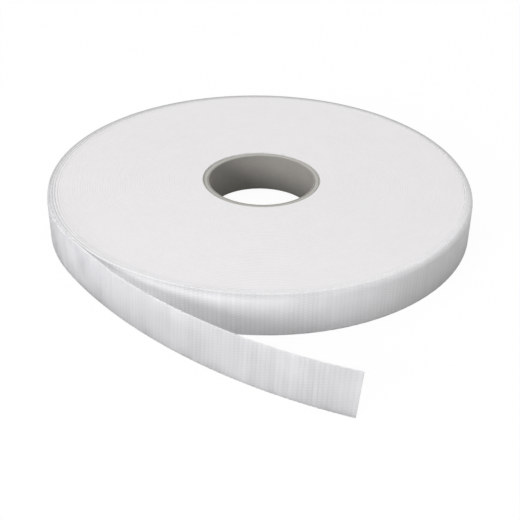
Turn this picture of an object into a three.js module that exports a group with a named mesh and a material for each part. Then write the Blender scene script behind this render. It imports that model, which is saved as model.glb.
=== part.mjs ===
// A roll of woven hook tape lying flat on its paperboard core, with the loose end standing on edge.
// Millimetres, +Z up. Seen from above the tape winds anticlockwise, out to where the tail leaves.
import * as THREE from 'three';

// Tape
const tapeWidth = 20;
const tapeThickness = 0.7;
const turnGap = 0.46; // between two turns, where the hooks stand on the real tape
const woundTurns = 61.4; // from the core out to the tail
const openTurns = 3; // outermost turns, shaped as one open spiral

// Tail
const tailLength = 156; // from the roll to the cut end
const tailBendRadius = 235;
const tailSections = 10;
const stubShare = 0.5; // part of a section that stays on the roll before the first bend
const tailLeavesAt = THREE.MathUtils.degToRad(-147.2); // around the roll's axis, from +X
const sectionGap = 0.3; // room to bend between two sections

// Paperboard core, glued up from plies
const coreBore = 50;
const innerPly = 0.6;
const bodyPly = 1.6;
const outerPly = 0.6;
const glueGap = 0.1;
const coreInset = 0.8; // core ends below the tape's edges

// Adhesive strip that holds the first turn on the core
const stripLength = 30;
const stripWidth = 16;
const stripThickness = 0.2;
const seatGap = 0.15;

// Smoothness of round outlines
const roundSteps = 72;
const sectionSteps = 3;

// Sizes that follow from these
const fullTurn = 2 * Math.PI;
const stepAngle = fullTurn / roundSteps;
const innerPlyRadius = coreBore / 2;
const bodyPlyRadius = innerPlyRadius + innerPly + glueGap;
const outerPlyRadius = bodyPlyRadius + bodyPly + glueGap;
const coreRadius = outerPlyRadius + outerPly;
const stripRadius = coreRadius + seatGap;
const windingBoreRadius = stripRadius + stripThickness + seatGap;
const turnPitch = tapeThickness + turnGap;
const halfTape = tapeThickness / 2;
const tailStartRadius = windingBoreRadius + halfTape + woundTurns * turnPitch;
const windingStartsAt = tailLeavesAt - woundTurns * fullTurn;
const openStartsAt = tailLeavesAt - openTurns * fullTurn;
const sectionLength = tailLength / (tailSections + stubShare);
const stubLength = sectionLength * stubShare;
const sectionAngle = sectionLength / tailBendRadius;

// Finishes
const white = { color: 0xe7e5e6, roughness: 0.92, metalness: 0 };
const innerBoard = { color: 0x96928c, roughness: 0.9, metalness: 0 };
const greyBoard = { color: 0xbebcb4, roughness: 0.95, metalness: 0 };
const adhesiveFilm = { color: 0xd9cfb4, roughness: 0.45, metalness: 0 };

const rollAxis = new THREE.Vector2(0, 0);
// The tail bends on about this centre, which lies in line with the roll's axis where it leaves
const tailCentre = polar(rollAxis, tailStartRadius - tailBendRadius, tailLeavesAt);

function polar(centre, radius, angle) {
  return new THREE.Vector2(centre.x + radius * Math.cos(angle), centre.y + radius * Math.sin(angle));
}

function arc(centre, radius, from, to, steps) {
  return Array.from({ length: steps + 1 }, (_, i) => polar(centre, radius, from + ((to - from) * i) / steps));
}

function circle(radius) {
  return arc(rollAxis, radius, 0, fullTurn, roundSteps).slice(0, roundSteps);
}

function namedMesh(name, geometry, finish) {
  const mesh = new THREE.Mesh(geometry, new THREE.MeshStandardMaterial(finish));
  mesh.name = name;
  return mesh;
}

// A plan outline raised to a height, from a level above the surface that the roll lies on
function raised(shape, bottom, height) {
  const geometry = new THREE.ExtrudeGeometry(shape, { depth: height, bevelEnabled: false });
  return geometry.translate(0, 0, bottom);
}

function corePly(name, innerRadius, thickness, finish) {
  const ring = new THREE.Shape(circle(innerRadius + thickness));
  ring.holes.push(new THREE.Path(circle(innerRadius)));
  return namedMesh(name, raised(ring, coreInset, tapeWidth - 2 * coreInset), finish);
}

// The adhesive strip lies on the core under the start of the first turn
function startStrip() {
  const halfAngle = stripLength / stripRadius / 2;
  const from = windingStartsAt - halfAngle;
  const to = windingStartsAt + halfAngle;
  const steps = Math.ceil((to - from) / stepAngle);
  const outside = arc(rollAxis, stripRadius + stripThickness, from, to, steps);
  const inside = arc(rollAxis, stripRadius, from, to, steps).reverse();
  const outline = new THREE.Shape([...outside, ...inside]);
  return namedMesh('start_strip', raised(outline, (tapeWidth - stripWidth) / 2, stripWidth), adhesiveFilm);
}

// Middle of the tape at a winding angle, which grows up to where the tail leaves
function windingRadius(angle) {
  return tailStartRadius - (turnPitch * (tailLeavesAt - angle)) / fullTurn;
}

// The tightly wound turns below the open ones. Their outline climbs one turn and ends in a step,
// out of which the open turns run on.
function innerWinding() {
  const outline = Array.from({ length: roundSteps + 1 }, (_, i) => {
    const angle = openStartsAt + i * stepAngle;
    return polar(rollAxis, windingRadius(angle) - halfTape - turnGap, angle);
  });
  const shape = new THREE.Shape(outline);
  shape.holes.push(new THREE.Path(circle(windingBoreRadius)));
  return namedMesh('inner_winding', raised(shape, 0, tapeWidth), white);
}

// Stations along the middle of the open turns and of the stub of tail that stays with them
function openStations() {
  const count = openTurns * roundSteps;
  const startGap = sectionGap / windingRadius(openStartsAt);
  const wound = Array.from({ length: count + 1 }, (_, i) => {
    const angle = tailLeavesAt - (count - i) * stepAngle + (i === 0 ? startGap : 0);
    return { centre: rollAxis, radius: windingRadius(angle), angle };
  });
  const stubAngle = (stubLength - sectionGap / 2) / tailBendRadius;
  const stub = Array.from({ length: sectionSteps }, (_, i) => {
    const angle = tailLeavesAt + (stubAngle * (i + 1)) / sectionSteps;
    return { centre: tailCentre, radius: tailBendRadius, angle };
  });
  return [...wound, ...stub];
}

function facePoint(station, offset) {
  return polar(station.centre, station.radius + offset, station.angle);
}

// Least gap between the faces of two turns, over points that are more than half a turn apart
function leastTurnGap(stations) {
  const outside = stations.map((station) => facePoint(station, halfTape));
  const inside = stations.map((station) => facePoint(station, -halfTape));
  let least = Infinity;
  outside.forEach((point, i) => {
    for (let j = i + roundSteps / 2; j < inside.length; j += 1) {
      least = Math.min(least, point.distanceTo(inside[j]));
    }
  });
  return least;
}

function outerTurns() {
  const stations = openStations();
  const outside = stations.map((station) => facePoint(station, halfTape));
  const inside = stations.map((station) => facePoint(station, -halfTape)).reverse();
  const shape = new THREE.Shape([...outside, ...inside]);
  console.log(`outer_turns: least gap to itself ${leastTurnGap(stations).toFixed(3)} mm`);
  return namedMesh('outer_turns', raised(shape, 0, tapeWidth), white);
}

// One section of the tail, from its hinge line at the local origin along +X, bending to the left
function tailSection(number) {
  const centre = new THREE.Vector2(0, tailBendRadius);
  const margin = sectionGap / 2 / tailBendRadius;
  const from = margin - Math.PI / 2;
  const to = sectionAngle - margin - Math.PI / 2;
  const outside = arc(centre, tailBendRadius + halfTape, from, to, sectionSteps);
  const inside = arc(centre, tailBendRadius - halfTape, from, to, sectionSteps).reverse();
  const shape = new THREE.Shape([...outside, ...inside]);
  const name = `tail_section_${String(number).padStart(2, '0')}`;
  return namedMesh(name, raised(shape, 0, tapeWidth), white);
}

// The sections hang on each other: each group stands on a hinge line, turned to its place in the bend
function tail() {
  const stubAngle = stubLength / tailBendRadius;
  const root = polar(tailCentre, tailBendRadius, tailLeavesAt + stubAngle);
  const firstHinge = new THREE.Group();
  firstHinge.position.set(root.x, root.y, 0);
  firstHinge.rotation.z = tailLeavesAt + stubAngle + Math.PI / 2;
  firstHinge.add(tailSection(1));
  let previous = firstHinge;
  for (let number = 2; number <= tailSections; number += 1) {
    const hinge = new THREE.Group();
    const reach = tailBendRadius * Math.sin(sectionAngle);
    const rise = tailBendRadius * (1 - Math.cos(sectionAngle));
    hinge.position.set(reach, rise, 0);
    hinge.rotation.z = sectionAngle;
    hinge.add(tailSection(number));
    previous.add(hinge);
    previous = hinge;
  }
  return firstHinge;
}

const roll = new THREE.Group();
roll.add(corePly('core_inner_ply', innerPlyRadius, innerPly, innerBoard));
roll.add(corePly('core_body_ply', bodyPlyRadius, bodyPly, greyBoard));
roll.add(corePly('core_outer_ply', outerPlyRadius, outerPly, greyBoard));
roll.add(startStrip());
roll.add(innerWinding());
roll.add(outerTurns());
roll.add(tail());

// The origin stands under the middle of the whole object, tail included, on the surface it lies on
const extent = new THREE.Box3().setFromObject(roll);
const middle = extent.getCenter(new THREE.Vector3());
roll.position.set(-middle.x, -middle.y, -extent.min.z);

const part = new THREE.Group();
part.add(roll);
part.updateMatrixWorld(true);

export default part;
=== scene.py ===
# A roll of white woven hook tape on a paperboard core, lying flat, with its loose end standing on edge.
import math

import bmesh
import bpy
import numpy as np
from mathutils import Matrix, Vector


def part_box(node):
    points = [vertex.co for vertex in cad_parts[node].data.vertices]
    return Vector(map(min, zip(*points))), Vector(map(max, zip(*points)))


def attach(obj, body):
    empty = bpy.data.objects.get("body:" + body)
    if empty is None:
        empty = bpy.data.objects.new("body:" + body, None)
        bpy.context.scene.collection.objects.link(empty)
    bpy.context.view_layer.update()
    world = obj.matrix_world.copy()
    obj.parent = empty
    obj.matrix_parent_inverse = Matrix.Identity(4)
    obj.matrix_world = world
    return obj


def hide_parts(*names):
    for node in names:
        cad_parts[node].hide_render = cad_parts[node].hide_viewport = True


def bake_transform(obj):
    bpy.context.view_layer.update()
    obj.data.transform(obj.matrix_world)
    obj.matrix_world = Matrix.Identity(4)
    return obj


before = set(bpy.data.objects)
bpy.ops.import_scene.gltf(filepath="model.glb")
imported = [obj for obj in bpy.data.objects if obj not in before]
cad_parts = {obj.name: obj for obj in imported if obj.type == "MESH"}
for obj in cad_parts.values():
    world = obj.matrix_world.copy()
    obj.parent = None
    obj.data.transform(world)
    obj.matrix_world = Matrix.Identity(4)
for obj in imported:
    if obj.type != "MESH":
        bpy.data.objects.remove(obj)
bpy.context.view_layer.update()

mm = 0.001
fullTurn = 2 * math.pi
coreLow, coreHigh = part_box("core_inner_ply")
rollAxis = (coreLow + coreHigh) / 2
rollAxis.z = 0
mergeWithin = 1e-5  # millimetres, for the strips and hooks
sharpAngle = 1.0  # radians between two faces, past which their edge shows as a corner
plainWhite = (1, 1, 1, 1)


# One node tree, with plain Python maths between its sockets
class Wire:
    def __init__(self, finish, socket):
        self.finish = finish
        self.socket = socket

    def __add__(self, other):
        return self.finish.maths("ADD", self, other)

    def __radd__(self, other):
        return self.finish.maths("ADD", other, self)

    def __sub__(self, other):
        return self.finish.maths("SUBTRACT", self, other)

    def __rsub__(self, other):
        return self.finish.maths("SUBTRACT", other, self)

    def __mul__(self, other):
        return self.finish.maths("MULTIPLY", self, other)

    def __rmul__(self, other):
        return self.finish.maths("MULTIPLY", other, self)

    def __truediv__(self, other):
        return self.finish.maths("DIVIDE", self, other)

    def __rtruediv__(self, other):
        return self.finish.maths("DIVIDE", other, self)

    def __pow__(self, other):
        return self.finish.maths("POWER", self, other)

    def __rpow__(self, other):
        return self.finish.maths("POWER", other, self)


class Finish:
    def __init__(self, holder):
        holder.use_nodes = True
        self.holder = holder
        self.tree = holder.node_tree
        self.tree.nodes.clear()

    def node(self, kind, settings=None, inputs=None, output=0):
        made = self.tree.nodes.new(kind)
        for key, value in (settings or {}).items():
            setattr(made, key, value)
        for key, value in (inputs or {}).items():
            if isinstance(value, Wire):
                self.tree.links.new(value.socket, made.inputs[key])
            else:
                made.inputs[key].default_value = value
        return Wire(self, made.outputs[output]) if made.outputs else None

    def maths(self, operation, *values):
        return self.node("ShaderNodeMath", {"operation": operation}, dict(enumerate(values)))

    def wave(self, place, period):  # 0 to 1 and back over each period
        return 0.5 - 0.5 * self.maths("COSINE", place * (fullTurn / period))

    def step(self, place, low, high):  # 0 below, 1 above, eased between
        inputs = {"Value": place, "From Min": low, "From Max": high}
        return self.node("ShaderNodeMapRange", {"interpolation_type": "SMOOTHSTEP"}, inputs)

    def noise(self, vector, scale, detail=2.0, roughness=0.5):
        inputs = {"Vector": vector, "Scale": scale, "Detail": detail, "Roughness": roughness}
        return self.node("ShaderNodeTexNoise", {}, inputs)

    def bump(self, strength, depth, height):
        inputs = {"Strength": strength, "Distance": depth * mm, "Height": height}
        return self.node("ShaderNodeBump", {}, inputs)

    def blendColours(self, factor, first, second):
        inputs = {0: factor, 6: first, 7: second}  # by number, because the sockets share names
        return self.node("ShaderNodeMix", {"data_type": "RGBA"}, inputs, 2)

    def parts(self, vector):
        return [self.node("ShaderNodeSeparateXYZ", {}, {0: vector}, axis) for axis in range(3)]

    def onRoll(self):  # metres from the roll's axis
        place = self.node("ShaderNodeTexCoord", output="Object")
        return self.node("ShaderNodeMapping", {}, {"Vector": place, "Location": -rollAxis})

    def surface(self, inputs, through=None, throughColour=plainWhite):
        shader = self.node("ShaderNodeBsdfPrincipled", {}, inputs)
        if through:
            passed = self.node("ShaderNodeBsdfTranslucent", {}, {"Color": throughColour})
            shader = self.node("ShaderNodeMixShader", {}, {0: through, 1: shader, 2: passed})
        self.node("ShaderNodeOutputMaterial", {}, {"Surface": shader})
        return self.holder


# Tape, in millimetres. Places along it are counted from where the tail leaves the roll, plus is the tail.
tape = {
    "width": 20.0,
    "outside": 0.35,  # rib crowns, from the middle line that the solids follow
    "inside": -0.15,  # ground of the weave, where the hooks stand
    "hookTips": -0.81,
    "turnPitch": 1.16,
    "turns": 61.4,
    "openTurns": 3,
    "startRadius": 100.074,
    "leavesAt": math.radians(-147.2),
    "tailLength": 156.0,
    "tailRadius": 235.0,
    "tailLean": 2.4,  # the cut end's upper corner, towards the roll
    "cutSlant": (-0.4, 0.9),  # the cut's lower and upper corners, along the tape
    "cutFrom": 150.0,
    "ribPitch": 1.95,
    "ribHeight": 0.08,
    "ribRound": 0.6,  # lower is fuller on the crown and sharper in the valley
    "ribUneven": 0.25,
    "ribBeats": (2.4, 0.71),  # radians from rib to rib
    "ribbedTurns": (1.0, 1.01),  # the turns further in are covered and stay plain
    "ribFade": (14.0, 19.0, 0.7),  # the wound ribs lie flatter towards the upper edge
    "scallop": 0.16,  # the edges dip in between the ribs
    "scallopBand": (1.2, 0.2),  # from the edge
    "scallopFrom": (-60.0, 20.0),
}
turnLength = fullTurn * tape["startRadius"]

# The upper edges of the outer turns are rounded in over the roll, most at its front and right
rim = {
    "from": 16.8,
    "curl": math.radians(14),
    "frontCurl": math.radians(44),
    "frontFrom": (math.radians(-148), math.radians(-112)),
    "frontTo": (math.radians(10), math.radians(75)),
    "fade": 2.8,  # turns
    "freeTurns": (0.0, 0.06),  # the last stretch stands up straight before it leaves
    "unevenEdge": 0.03,
    "unevenWaves": (41.0, 27.3, 93.0),
    "unevenTurns": (0.0, 0.2),
    "proud": 0.3,  # the outer turns stand above the inner ones
    "proudTurns": (1.0, 5.0),
}
# Where the tail leaves, its lower edge flares out first and its upper edge keeps close to the roll
flare = {
    "low": 0.45,
    "high": 0.9,
    "reach": 42.0,
    "fade": 4.0,  # turns
    "hug": 0.9,
    "hugAt": 22.0,
    "hugReach": 14.0,
    "piled": (6.0, 24.0),  # up to here the hooks are still pressed together
    "piledMore": 0.22,  # share of the low flare that they fill on the tail
}


def ease(low, high, value):
    share = np.clip((value - low) / (high - low), 0, 1)
    return share * share * (3 - 2 * share)


def turnsBack(s):
    return np.maximum(-s, 0) / turnLength


def ribWave(s):  # 0 in the valleys, 1 on the crowns
    share = s / tape["ribPitch"] % 1
    return np.maximum(1 - (2 * share - 1) ** 2, 0) ** tape["ribRound"]


def ribDepth(s):  # no two ribs are beaten up alike
    rib = np.floor(s / tape["ribPitch"])
    fast, slow = tape["ribBeats"]
    return 1 + tape["ribUneven"] * np.sin(rib * fast) * np.sin(rib * slow + 1)


def relief(s, n, z):
    half = tape["width"] / 2
    low = 1 - ribWave(s)
    ribbed = 1 - ease(*tape["ribbedTurns"], turnsBack(s))
    face = ease(tape["inside"], tape["outside"], n)
    bandFrom, bandTo = tape["scallopBand"]
    edge = ease(half - bandFrom, half - bandTo, np.abs(z - half))
    edge = edge * ease(tape["hookTips"], tape["inside"], n)
    loose = ease(*tape["scallopFrom"], s)
    fadeFrom, fadeTo, fade = tape["ribFade"]
    flatter = 1 - fade * ease(fadeFrom, fadeTo, z) * (1 - loose)
    n = n - tape["ribHeight"] * ribDepth(s) * low * ribbed * face * flatter
    z = half + (z - half) * (1 - tape["scallop"] / half * low * loose * edge)
    return n, z


def curlRim(s, n, z):
    back = turnsBack(s)
    around = (tape["leavesAt"] - back * fullTurn + math.pi) % fullTurn - math.pi
    front = ease(*rim["frontFrom"], around) * (1 - ease(*rim["frontTo"], around))
    depth = back + (tape["outside"] - n) / tape["turnPitch"]
    curl = (rim["curl"] + rim["frontCurl"] * front) * np.exp(-depth / rim["fade"])
    above = np.maximum(z - rim["from"], 0)
    angle = curl * ease(*rim["freeTurns"], back) * above / (tape["width"] - rim["from"])
    inward = above * angle / 2 * np.sinc(angle / fullTurn) ** 2
    return n - inward, np.minimum(z, rim["from"]) + above * np.sinc(angle / math.pi)


def standOut(s, z):
    back = turnsBack(s)
    away = np.where(s > 0, s, ((back + 0.5) % 1 - 0.5) * turnLength)
    rise = z / tape["width"]
    out = flare["low"] + (flare["high"] - flare["low"]) * rise
    out = out * np.exp(-(away / flare["reach"]) ** 2 - back / flare["fade"])
    return out - (s > 0) * flare["hug"] * rise * np.exp(-((s - flare["hugAt"]) / flare["hugReach"]) ** 2)


def wind(s, n, z):
    n, z = relief(s, n, z)
    n, z = curlRim(s, n, z)
    low, high = tape["cutSlant"]
    s = s + ease(tape["cutFrom"], tape["tailLength"], s) * (low + (high - low) * z / tape["width"])
    waves = [1 + np.sin(s / wave + phase) for phase, wave in enumerate(rim["unevenWaves"])]
    uneven = sum(waves) / len(waves) / 2 * ease(*rim["unevenTurns"], turnsBack(s))
    lower = rim["unevenEdge"] * uneven + rim["proud"] * ease(*rim["proudTurns"], turnsBack(s))
    z = z * (1 - lower / tape["width"])
    onTail = np.maximum(s, 0)
    n = n + standOut(s, z) - tape["tailLean"] * onTail / tape["tailLength"] * z / tape["width"]
    turned = np.minimum(s, 0) / tape["startRadius"]
    wrap = tape["startRadius"] + tape["turnPitch"] * turned / fullTurn
    radius = np.where(s > 0, tape["tailRadius"], wrap)
    back = np.where(s > 0, tape["startRadius"] - tape["tailRadius"], 0)
    angle = tape["leavesAt"] + turned + onTail / tape["tailRadius"]
    x = back * math.cos(tape["leavesAt"]) + (radius + n) * np.cos(angle)
    y = back * math.sin(tape["leavesAt"]) + (radius + n) * np.sin(angle)
    return np.stack([x, y, z], 1) * mm + np.array(rollAxis)


# Outline of the tape's section, up the outside, over the edge, down the inside and back under
def tapeSection(outside, inside, levels, innerLevels, edgeSteps):
    middle = (outside + inside) / 2
    half = (outside - inside) / 2
    crown = tape["width"] - levels[-1]
    turns = np.linspace(0, math.pi, edgeSteps + 2)[1:-1]
    over = [(middle + half * math.cos(a), levels[-1] + crown * math.sin(a)) for a in turns]
    under = [(middle - half * math.cos(a), levels[0] - levels[0] * math.sin(a)) for a in turns]
    up = [(outside, z) for z in levels]
    down = [(inside, z) for z in reversed(innerLevels)]
    return np.array(up + over + down + under)


# A flat strip along X with a section in Y and Z, closed at both ends
def flatStrip(columns, section):
    bm = bmesh.new()
    bmesh.ops.create_grid(bm, x_segments=len(columns) - 1, y_segments=len(section), size=1)
    for vert in bm.verts:
        column = round((vert.co.x + 1) / 2 * (len(columns) - 1))
        row = round((vert.co.y + 1) / 2 * len(section)) % len(section)
        vert.co = (columns[column], *section[row])
    bmesh.ops.remove_doubles(bm, verts=bm.verts, dist=mergeWithin)
    ends = [edge for edge in bm.edges if edge.is_boundary]
    bmesh.ops.holes_fill(bm, edges=ends, sides=0)
    bmesh.ops.recalc_face_normals(bm, faces=bm.faces)
    for edge in bm.edges:
        edge.smooth = edge.calc_face_angle(0) < sharpAngle
    return bm


def meshPoints(mesh):
    found = np.empty(len(mesh.vertices) * 3)
    mesh.vertices.foreach_get("co", found)
    return found.reshape(-1, 3)


def finishPiece(name, bm, material):
    mesh = bpy.data.meshes.new(name)
    bm.to_mesh(mesh)
    bm.free()
    mesh.shade_smooth()
    mesh.materials.append(material)
    piece = bpy.data.objects.new(name, mesh)
    bpy.context.scene.collection.objects.link(piece)
    return piece


# The flat strip is wound or laid along the tail, and keeps its flat place in its UV map
def woundPiece(name, bm, material, piled=True):
    piece = finishPiece(name, bm, material)
    mesh = piece.data
    s, n, z = meshPoints(mesh).T
    corners = np.empty(len(mesh.loops), np.int32)
    mesh.loops.foreach_get("vertex_index", corners)
    flat = np.stack([s, z - n], 1)[corners] * mm
    mesh.uv_layers.new(name="flatTape").uv.foreach_set("vector", flat.astype(np.float32).ravel())
    if piled:  # on the roll the hooks fill the room down to the next turn
        onRoll = standOut(s, z) - standOut(s - turnLength, z)
        opened = np.where(s < 0, onRoll, flare["low"] * flare["piledMore"])
        share = np.clip((tape["outside"] - n) / (tape["outside"] - tape["inside"]), 0, 1)
        depth = tape["inside"] - tape["hookTips"] + opened
        n = n - (1 - ease(*flare["piled"], s)) * share * depth
    mesh.vertices.foreach_set("co", wind(s, n, z).ravel())
    mesh.update()
    return piece


# Woven white nylon
weave = {
    "colour": (0.87, 0.865, 0.875, 1),
    "through": 0.70,  # share of the light that passes each face of the tail's one layer
    "throughColour": (0.98, 0.98, 0.985, 1),
    "singleFrom": (-90.0, 10.0),  # along the tape, out of the wound turns into the one layer
    "warpPitch": 1.26,  # the picks show as a row of beads on each rib, set over by half from rib to rib
    "shade": 0.30,  # strength of the shades from here down to the mottle
    "tailShade": 2.2,  # how much more of them shows on the tail
    "tailPaler": 0.135,
    # painted shade in the valleys between the ribs and between the beads
    "valleys": 0.25,
    "beads": 0.25,
    "patches": (2.4, -0.2),  # valleys and beads come and go
    "ribsDiffer": 0.12,
    "mottle": 0.3,
    "rim": (0.34, 0.45),  # painted shade on the upper edge, darker at the front left and at the back
    "rimFrom": (16.0, 19.4),
    "rimTo": (18.9, 19.8),
    "rimEases": 0.7,  # share of the front left's that is gone at the very edge
    "rimFront": (0.10, 0.33),  # shares of a turn, from where the tail leaves
    "rimBack": (0.30, 0.50),
    "rimLeft": (0.70, 0.90),  # half as dark from here on
    "rimInner": 0.3,  # less on the turns inside the outermost one
    "rimChange": 10.0,  # either side of where the outermost turn starts
    "edge": 0.08,  # the very edge is greyer than the ribs
    "edgeFrom": (19.5, 19.9),
    "roughness": 0.78,
    "roughnessVaries": 0.2,
    "gloss": 0.3,
    "bump": 0.45,
    "bumpDepth": 0.1,
    "bumpHeights": (0.5, 0.6, 0.4),  # ribs, beads on them and fibres
    "noiseScales": (9000, 140, 60),  # fibres, mottle and patches
}


def wovenTape():
    finish = Finish(bpy.data.materials.new("woven_white_tape"))
    flat = finish.node("ShaderNodeUVMap", {"uv_map": "flatTape"})
    u, v, _ = finish.parts(flat)
    along = u / mm
    across = v / mm
    rib = finish.maths("FLOOR", along / tape["ribPitch"])
    crown = finish.wave(along, tape["ribPitch"])
    bead = finish.wave(across + rib * (weave["warpPitch"] / 2), weave["warpPitch"])
    fibreScale, mottleScale, patchScale = weave["noiseScales"]
    fibres = finish.noise(flat, fibreScale, detail=3)
    mottle = finish.noise(flat, mottleScale, detail=3)
    patch = finish.noise(flat, patchScale, detail=1)
    uneven = finish.node("ShaderNodeTexWhiteNoise", {"noise_dimensions": "1D"}, {"W": rib})
    single = finish.step(along, *weave["singleFrom"])

    # Painted shade on the wound turns' upper edge, standing in for the shading of its curled edge, and the
    # grey of the very edge
    around = finish.maths("FRACT", along / turnLength)
    front, back = weave["rim"]
    change = (-turnLength - weave["rimChange"], -turnLength + weave["rimChange"])
    outermost = finish.step(along, *change) * (1 - weave["rimInner"]) + weave["rimInner"]
    paintedRimShade = (1 - finish.step(around, *weave["rimFront"])) * outermost * front
    paintedRimShade = paintedRimShade * (1 - finish.step(across, *weave["rimTo"]) * weave["rimEases"])
    outwards = along / (turnLength * tape["openTurns"]) + 1
    behind = finish.step(around, *weave["rimBack"]) - finish.step(around, *weave["rimLeft"]) / 2
    paintedRimShade = paintedRimShade + behind * outwards * back
    paintedRimShadeAndGreyEdge = finish.step(across, *weave["rimFrom"]) * paintedRimShade
    paintedRimShadeAndGreyEdge = (paintedRimShadeAndGreyEdge + finish.step(across, *weave["edgeFrom"]) * weave["edge"]) * (1 - single)

    # Painted shade in the valleys between the ribs and between the beads, with random tone from rib to rib
    # and mottle
    paintedValleyShade = (1 - crown) ** 2 * weave["valleys"] + (1 - bead) * crown * weave["beads"]
    steep, start = weave["patches"]
    shade = paintedValleyShade * (patch * steep + start)
    shade = shade + (uneven - 0.5) * weave["ribsDiffer"] + (mottle - 0.5) * weave["mottle"]
    shade = (shade - single * weave["tailPaler"]) * weave["shade"] * (single * weave["tailShade"] + 1)
    darker = (1 - shade) * (1 - paintedRimShadeAndGreyEdge)
    colour = finish.node("ShaderNodeVectorMath", {"operation": "SCALE"},
                         {0: weave["colour"][:3], "Scale": darker})
    ribRise, beadRise, fibreRise = weave["bumpHeights"]
    height = crown * (bead * beadRise + ribRise) + fibres * fibreRise
    bump = finish.bump(weave["bump"], weave["bumpDepth"], height)
    rough = weave["roughness"] + (fibres - 0.5) * weave["roughnessVaries"]
    return finish.surface({"Base Color": colour, "Roughness": rough, "Normal": bump,
                           "Specular IOR Level": weave["gloss"]},
                          single * weave["through"], weave["throughColour"])


# The wound edges, which make the roll's two faces
edges = {
    "colour": (0.792, 0.779, 0.784, 1),
    "shade": (0.72, 0.705, 0.71, 1),
    "streaks": 0.35,
    "mottle": 0.5,
    "shaded": 0.15,
    "roughness": 0.82,
    "roughnessVaries": 0.2,
    "gloss": 0.3,
    "bump": 0.25,
    "bumpDepth": 0.1,
    "bumpHeights": (0.4, 0.6),  # loops at the ends of the ribs, and fibres
    "noiseScales": (60, 90, 3500),  # streaks, mottle and fibres
}


def woundEdges():
    finish = Finish(bpy.data.materials.new("wound_tape_edges"))
    flat = finish.node("ShaderNodeUVMap", {"uv_map": "flatTape"})
    u, _, _ = finish.parts(flat)
    place = finish.onRoll()
    loop = finish.wave(u / mm, tape["ribPitch"])
    streakScale, mottleScale, fibreScale = edges["noiseScales"]
    streak = finish.noise(flat, streakScale, detail=2)
    mottle = finish.noise(place, mottleScale, detail=4, roughness=0.6)
    fibres = finish.noise(place, fibreScale, detail=3)
    shade = (streak - 0.5) * edges["streaks"] + (mottle - 0.5) * edges["mottle"] + edges["shaded"]
    colour = finish.blendColours(shade, edges["colour"], edges["shade"])
    loopRise, fibreRise = edges["bumpHeights"]
    height = loop * loopRise + fibres * fibreRise
    bump = finish.bump(edges["bump"], edges["bumpDepth"], height)
    rough = edges["roughness"] + (fibres - 0.5) * edges["roughnessVaries"]
    return finish.surface({"Base Color": colour, "Roughness": rough, "Normal": bump,
                           "Specular IOR Level": edges["gloss"]})


tapeFinish = wovenTape()
edgeFinish = woundEdges()
print("tape finishes made")

# The turns between the core and the outermost ones, one unbroken strip
winding = {
    "stepsPerTurn": 88,
    "levels": [0.05, 16.8, 18.0, 19.0, 19.95],
    "edgeSteps": 3,
    "climb": (-0.3, 0.02),  # along the tape, where the second turn climbs over the start
    "endGap": 0.05,  # to the outer turns
}


def windingPiece():
    turns = tape["turns"] - tape["openTurns"]
    first = -tape["turns"] * turnLength
    last = -tape["openTurns"] * turnLength - winding["endGap"]
    columns = np.linspace(first, last, int(turns * winding["stepsPerTurn"]))
    columns = np.union1d(columns, [first + turnLength + place for place in winding["climb"]])
    section = tapeSection(tape["outside"], tape["hookTips"], winding["levels"], winding["levels"],
                          winding["edgeSteps"])
    bm = flatStrip(columns, section)
    for vert in bm.verts:  # the first turn's hooks fill the room down to the core
        turned = (vert.co.x - first) / turnLength
        if turned < 1:
            share = (tape["outside"] - vert.co.y) / (tape["outside"] - tape["hookTips"])
            vert.co.y -= share * turned * tape["turnPitch"]
    piece = woundPiece("tape_winding", bm, edgeFinish, False)
    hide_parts("inner_winding")
    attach(piece, "roll")


windingPiece()
print("winding made")

# The last turns, ribbed where the outside shows
outerTurns = {
    "stepsPerTurn": 160,
    "stepsPerRib": 6,
    "ribsOver": 1.005,  # turns with columns for every rib
    "levels": [0.12, 0.8, 1.6, 3.5, 7.0, 10.5, 14.0, 16.0, 16.8, 17.4, 18.0, 18.6, 19.2, 19.88],
    "innerLevels": [0.12, 7.0, 14.0, 16.8, 18.0, 19.0, 19.88],
    "edgeSteps": 4,
}


def outerTurnsPiece():
    hiddenSteps = (tape["openTurns"] - 1) * outerTurns["stepsPerTurn"]
    hiddenTo = -turnLength * tape["ribbedTurns"][1]
    hidden = np.linspace(-tape["openTurns"] * turnLength, hiddenTo, hiddenSteps)
    ribs = int(turnLength * outerTurns["ribsOver"] / tape["ribPitch"])
    ribbed = np.arange(-ribs * outerTurns["stepsPerRib"], 1) * tape["ribPitch"] / outerTurns["stepsPerRib"]
    section = tapeSection(tape["outside"], tape["inside"], outerTurns["levels"], outerTurns["innerLevels"],
                          outerTurns["edgeSteps"])
    bm = flatStrip(np.concatenate([hidden, ribbed]), section)
    piece = woundPiece("tape_outer_turns", bm, tapeFinish)
    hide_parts("outer_turns")
    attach(piece, "roll")


outerTurnsPiece()
print("outer turns made")

# The tail, cut in the rib valleys halfway between its bends
tail = {
    "sections": 10,
    "stubShare": 0.5,
    "stepsPerRib": 8,
    "levels": [0.12, 0.6, 1.0, 1.6, 3.0, 5.0, 7.5, 10.0, 12.5, 15.0, 17.0, 18.4, 19.0, 19.4, 19.88],
    "innerLevels": [0.12, 2.0, 6.0, 10.0, 14.0, 18.0, 19.88],
    "edgeSteps": 5,
}
# Hooks of stiff thread on the inside, in a row on each rib
hooks = {
    "perRow": 13,
    "pitch": 1.2,
    "shift": 0.3,  # up or down, by turns from row to row
    "sunk": 0.03,  # into the weave
    "thread": 0.17,
    "sides": 5,
    "stem": 0.3,
    "bend": 0.16,  # radius of the crook
    "turn": math.radians(205),
    "bendSteps": 4,
}


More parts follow.
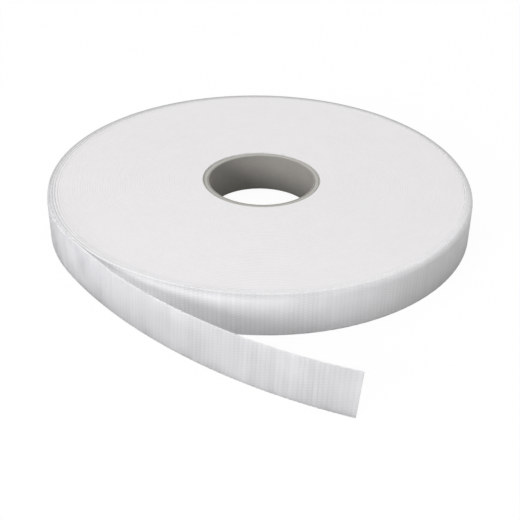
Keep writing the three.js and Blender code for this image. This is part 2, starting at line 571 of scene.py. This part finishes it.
def hookThread(bm):
    ring = bmesh.ops.create_circle(bm, segments=hooks["sides"], radius=hooks["thread"] / 2)["verts"]
    bmesh.ops.rotate(bm, verts=ring, cent=(0, 0, 0), matrix=Matrix.Rotation(math.pi / 2, 3, "X"))
    foot = list({edge for vert in ring for edge in vert.link_edges})
    grown = bmesh.ops.extrude_edge_only(bm, edges=foot)["geom"]
    top = [item for item in grown if isinstance(item, bmesh.types.BMVert)]
    bmesh.ops.translate(bm, verts=top, vec=(0, -hooks["stem"], 0))
    loop = top + [item for item in grown if isinstance(item, bmesh.types.BMEdge)
                  and all(vert in top for vert in item.verts)]
    bmesh.ops.spin(bm, geom=loop, cent=(hooks["bend"], -hooks["stem"], 0), axis=(0, 0, 1),
                   angle=hooks["turn"], steps=hooks["bendSteps"])
    bmesh.ops.remove_doubles(bm, verts=bm.verts, dist=mergeWithin)
    bmesh.ops.holes_fill(bm, edges=[edge for edge in bm.edges if edge.is_boundary], sides=0)
    bmesh.ops.recalc_face_normals(bm, faces=bm.faces)


def addHooks(bm, firstRib, lastRib):
    hook = bmesh.new()
    hookThread(hook)
    patch = bmesh.new()
    pattern = bpy.data.meshes.new("hook")
    hook.to_mesh(pattern)
    hook.free()
    turnRound = Matrix.Rotation(math.pi, 3, "Y")
    for rib in range(firstRib, lastRib):
        for place in range(hooks["perRow"]):
            before = len(patch.verts)
            patch.from_mesh(pattern)
            patch.verts.ensure_lookup_table()
            added = patch.verts[before:]
            shift = hooks["shift"] if rib % 2 else -hooks["shift"]
            z = tape["width"] / 2 + (place - (hooks["perRow"] - 1) / 2) * hooks["pitch"] + shift
            if (rib + place) % 2:
                bmesh.ops.rotate(patch, verts=added, cent=(0, 0, 0), matrix=turnRound)
            spot = ((rib + 0.5) * tape["ribPitch"], tape["inside"] + hooks["sunk"], z)
            bmesh.ops.translate(patch, verts=added, vec=spot)
    patch.to_mesh(pattern)
    patch.free()
    bm.from_mesh(pattern)
    bpy.data.meshes.remove(pattern)


def tailPlace(s):
    point = wind(np.array([s]), np.array([0.0]), np.array([tape["width"] / 2]))[0]
    return Vector(point)


def tailPieces():
    section = tapeSection(tape["outside"], tape["inside"], tail["levels"], tail["innerLevels"],
                          tail["edgeSteps"])
    firstHooks = math.ceil(flare["piled"][1] / tape["ribPitch"])
    length = tape["tailLength"] / (tail["sections"] + tail["stubShare"])
    ribs = round(tape["tailLength"] / tape["ribPitch"])
    cuts = [0] + [round((k + 1) * length / tape["ribPitch"]) for k in range(tail["sections"])] + [ribs]
    step = tape["ribPitch"] / tail["stepsPerRib"]
    for number, (first, last) in enumerate(zip(cuts, cuts[1:]), 1):
        columns = np.arange(first * tail["stepsPerRib"], last * tail["stepsPerRib"] + 1) * step
        bm = flatStrip(columns, section)
        addHooks(bm, max(first, firstHooks), last)
        if number > tail["sections"]:
            piece = woundPiece("tape_tail_end", bm, tapeFinish)
            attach(piece, f"tail_{tail['sections']}")
            continue
        piece = woundPiece(f"tape_tail_{number:02d}", bm, tapeFinish)
        tailPlace(columns[0])
        tailPlace(columns[-1])
        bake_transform(piece)
        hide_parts(f"tail_section_{number:02d}")


tailPieces()
print("tail made")

# Paperboard core of three plies
core = {
    "plies": {"core_inner_ply": 0.6, "core_body_ply": 1.6, "core_outer_ply": 0.6},
    "steps": 128,
    "mergeWithin": 1e-4,
    "bevel": 0.12,
    "boardColour": (0.485, 0.475, 0.44, 1),
    "boardShade": (0.37, 0.36, 0.335, 1),
    "linerColour": (0.345, 0.33, 0.305, 1),
    "linerShade": (0.275, 0.265, 0.245, 1),
    "layerPitch": 0.31,  # sheets within a ply
    "pulp": 1.1,
    "clouds": 0.8,
    "layers": 0.15,
    "shaded": 0.25,
    "roughness": 0.85,
    "roughnessVaries": 0.2,
    "gloss": 0.25,
    "bump": 0.4,
    "bumpDepth": 0.12,
    "layerHeight": 0.25,
    "noiseScales": (900, 120),  # pulp and clouds
}


def paperboard(name, colour, shadeColour):
    finish = Finish(bpy.data.materials.new(name))
    place = finish.onRoll()
    x, y, _ = finish.parts(place)
    pulpScale, cloudScale = core["noiseScales"]
    pulp = finish.noise(place, pulpScale, detail=5, roughness=0.65)
    cloud = finish.noise(place, cloudScale, detail=3)
    radius = finish.maths("SQRT", x * x + y * y) / mm
    layers = finish.wave(radius, core["layerPitch"])
    shade = (pulp - 0.5) * core["pulp"] + (cloud - 0.5) * core["clouds"]
    shade = shade + layers * core["layers"] + core["shaded"]
    colour = finish.blendColours(shade, colour, shadeColour)
    bump = finish.bump(core["bump"], core["bumpDepth"], pulp + layers * core["layerHeight"])
    rough = core["roughness"] + (pulp - 0.5) * core["roughnessVaries"]
    return finish.surface({"Base Color": colour, "Roughness": rough, "Normal": bump,
                           "Specular IOR Level": core["gloss"]})


def plyRing(node, name, material):
    low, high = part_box(node)
    outer = (high.x - low.x) / 2
    inner = outer - core["plies"][node] * mm
    bm = bmesh.new()
    outline = ((inner, low.z), (outer, low.z), (outer, high.z), (inner, high.z))
    corners = [bm.verts.new((radius, 0, z)) for radius, z in outline]
    sides = [bm.edges.new((corners[i], corners[(i + 1) % 4])) for i in range(4)]
    bmesh.ops.spin(bm, geom=corners + sides, cent=(0, 0, 0), axis=(0, 0, 1), angle=fullTurn,
                   steps=core["steps"], use_merge=True)
    bmesh.ops.remove_doubles(bm, verts=bm.verts, dist=core["mergeWithin"] * mm)
    bmesh.ops.recalc_face_normals(bm, faces=bm.faces)
    arrises = [edge for edge in bm.edges if edge.calc_face_angle(0) > sharpAngle]
    bmesh.ops.bevel(bm, geom=arrises, offset=core["bevel"] * mm, segments=2, profile=0.5,
                    affect="EDGES", material=-1)
    bmesh.ops.translate(bm, verts=bm.verts, vec=rollAxis)
    piece = finishPiece(name, bm, material)
    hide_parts(node)
    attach(piece, "roll")


boardFinish = paperboard("grey_paperboard", core["boardColour"], core["boardShade"])
linerFinish = paperboard("core_liner_paper", core["linerColour"], core["linerShade"])
plyRing("core_inner_ply", "core_liner", linerFinish)
plyRing("core_body_ply", "core_board", boardFinish)
plyRing("core_outer_ply", "core_wrap", boardFinish)
print("core made")

# Adhesive strip under the first turn, as the solid has it
strip = {
    "colour": (0.69, 0.62, 0.46, 1),
    "shade": (0.60, 0.53, 0.38, 1),
    "cloudScale": 700,
    "roughness": 0.35,
    "roughnessVaries": 0.2,
}


def adhesiveStrip():
    finish = Finish(bpy.data.materials.new("adhesive_strip"))
    cloud = finish.noise(finish.onRoll(), strip["cloudScale"], detail=3)
    colour = finish.blendColours(cloud, strip["colour"], strip["shade"])
    rough = strip["roughness"] + cloud * strip["roughnessVaries"]
    return finish.surface({"Base Color": colour, "Roughness": rough})


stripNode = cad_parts["start_strip"]
stripNode.data.materials.clear()
stripNode.data.materials.append(adhesiveStrip())
print("adhesive strip dressed")

# Studio: pale floor, one lamp low at the front left and soft light from above. In metres.
studio = {
    "floorSize": 6.0,
    "floorBounce": (0.80, 0.80, 0.80, 1),
    "floorNear": (0.13, 0.13, 0.13, 1),  # painted shade: gives little light back close to the roll, standing in for contact shade
    "nearReach": (0.005, 0.05),
    "beforeTail": 12.0,  # times shorter in front of the tail
    "floorShown": (0.95, 0.95, 0.95, 1),
    "floorShadow": 0.06,  # share of the light and shade on the floor that shows on its white
    "keyFrom": (math.radians(-128), math.radians(17)),
    "keyDistance": 1.4,
    "keySize": 0.5,
    "keyPower": 10.1,
    "keyColour": (0.985, 0.985, 1.0),
    "fill": (0.03, 1.28),  # at the horizon, and what is added up to the zenith
}


def cameraRays(finish):
    camera, glossy, passed, diffuse = [
        finish.node("ShaderNodeLightPath", output=f"Is {kind} Ray")
        for kind in ("Camera", "Glossy", "Transmission", "Diffuse")]
    clear = passed * (1 - diffuse)  # not the light that the tape lets through
    return finish.maths("MAXIMUM", finish.maths("MAXIMUM", camera, glossy), clear)


def makeFloor():
    finish = Finish(bpy.data.materials.new("pale_floor"))
    x, y, _ = finish.parts(finish.onRoll())
    # Painted shade in the light the floor gives back: dark close to the roll and the tail
    fromRoll = finish.maths("SQRT", x * x + y * y) - tape["startRadius"] * mm
    back = (tape["startRadius"] - tape["tailRadius"]) * mm
    x = x - back * math.cos(tape["leavesAt"])
    y = y - back * math.sin(tape["leavesAt"])
    before = finish.maths("SQRT", x * x + y * y) - tape["tailRadius"] * mm
    fromTail = finish.maths("MAXIMUM", before * studio["beforeTail"], 0 - before)
    near, far = studio["nearReach"]
    reach = (finish.maths("MINIMUM", fromRoll, fromTail) - near) / (far - near)
    share = finish.node("ShaderNodeClamp", {}, {"Value": reach})
    colour = finish.blendColours(share, studio["floorNear"], studio["floorBounce"])
    bounce = finish.node("ShaderNodeBsdfDiffuse", {}, {"Color": colour})
    plain = finish.node("ShaderNodeEmission", {}, {"Color": plainWhite, "Strength": 1.0})
    lit = finish.node("ShaderNodeBsdfDiffuse", {}, {"Color": studio["floorShown"]})
    shown = finish.node("ShaderNodeMixShader", {}, {0: studio["floorShadow"], 1: plain, 2: lit})
    mixed = finish.node("ShaderNodeMixShader", {}, {0: cameraRays(finish), 1: bounce, 2: shown})
    finish.node("ShaderNodeOutputMaterial", {}, {"Surface": mixed})
    bm = bmesh.new()
    bmesh.ops.create_grid(bm, x_segments=2, y_segments=2, size=studio["floorSize"] / 2)
    mesh = bpy.data.meshes.new("floor")
    bm.to_mesh(mesh)
    bm.free()
    mesh.materials.append(finish.holder)
    floor = bpy.data.objects.new("floor", mesh)
    bpy.context.scene.collection.objects.link(floor)


def makeLight():
    world = bpy.data.worlds.new("studio")
    bpy.context.scene.world = world
    finish = Finish(world)
    _, _, up = finish.parts(finish.node("ShaderNodeTexCoord", output="Generated"))
    low, added = studio["fill"]
    level = low + added * finish.maths("MAXIMUM", up, 0.0)
    fill = finish.node("ShaderNodeBackground", {}, {"Color": plainWhite, "Strength": level})
    white = finish.node("ShaderNodeBackground", {}, {"Color": plainWhite, "Strength": 1.0})
    mixed = finish.node("ShaderNodeMixShader", {}, {0: cameraRays(finish), 1: fill, 2: white})
    finish.node("ShaderNodeOutputWorld", {}, {"Surface": mixed})
    turn, rise = studio["keyFrom"]
    towards = Vector((math.cos(turn) * math.cos(rise), math.sin(turn) * math.cos(rise), math.sin(rise)))
    lamp = bpy.data.lights.new("key", "AREA")
    lamp.shape = "DISK"
    lamp.size = studio["keySize"]
    lamp.energy = studio["keyPower"]
    lamp.color = studio["keyColour"]
    key = bpy.data.objects.new("key", lamp)
    key.location = rollAxis + towards * studio["keyDistance"]
    key.rotation_euler = towards.to_track_quat("Z", "Y").to_euler()
    bpy.context.scene.collection.objects.link(key)


# Camera fitted to the photograph's edges, in millimetres from the middle of the roll
shot = {
    "distance": 492.2,
    "elevation": math.radians(28.51),
    "pitch": math.radians(32.09),
    "roll": math.radians(1.05),
    "lens": 70.56,
    "sensor": 36.0,
    "nearest": 10.0,
}


def makeCamera():
    data = bpy.data.cameras.new("photo_camera")
    data.lens = shot["lens"]
    data.sensor_width = shot["sensor"]
    data.clip_start = shot["nearest"] * mm
    camera = bpy.data.objects.new("photo_camera", data)
    reach = shot["distance"] * math.cos(shot["elevation"])
    height = tape["width"] / 2 + shot["distance"] * math.sin(shot["elevation"])
    camera.location = rollAxis + Vector((0, -reach, height)) * mm
    tilt = Matrix.Rotation(math.pi / 2 - shot["pitch"], 3, "X") @ Matrix.Rotation(shot["roll"], 3, "Z")
    camera.rotation_euler = tilt.to_euler()
    bpy.context.scene.collection.objects.link(camera)
    bpy.context.scene.camera = camera


makeFloor()
makeLight()
makeCamera()
bpy.context.scene.view_settings.view_transform = "Standard"
print("studio made")
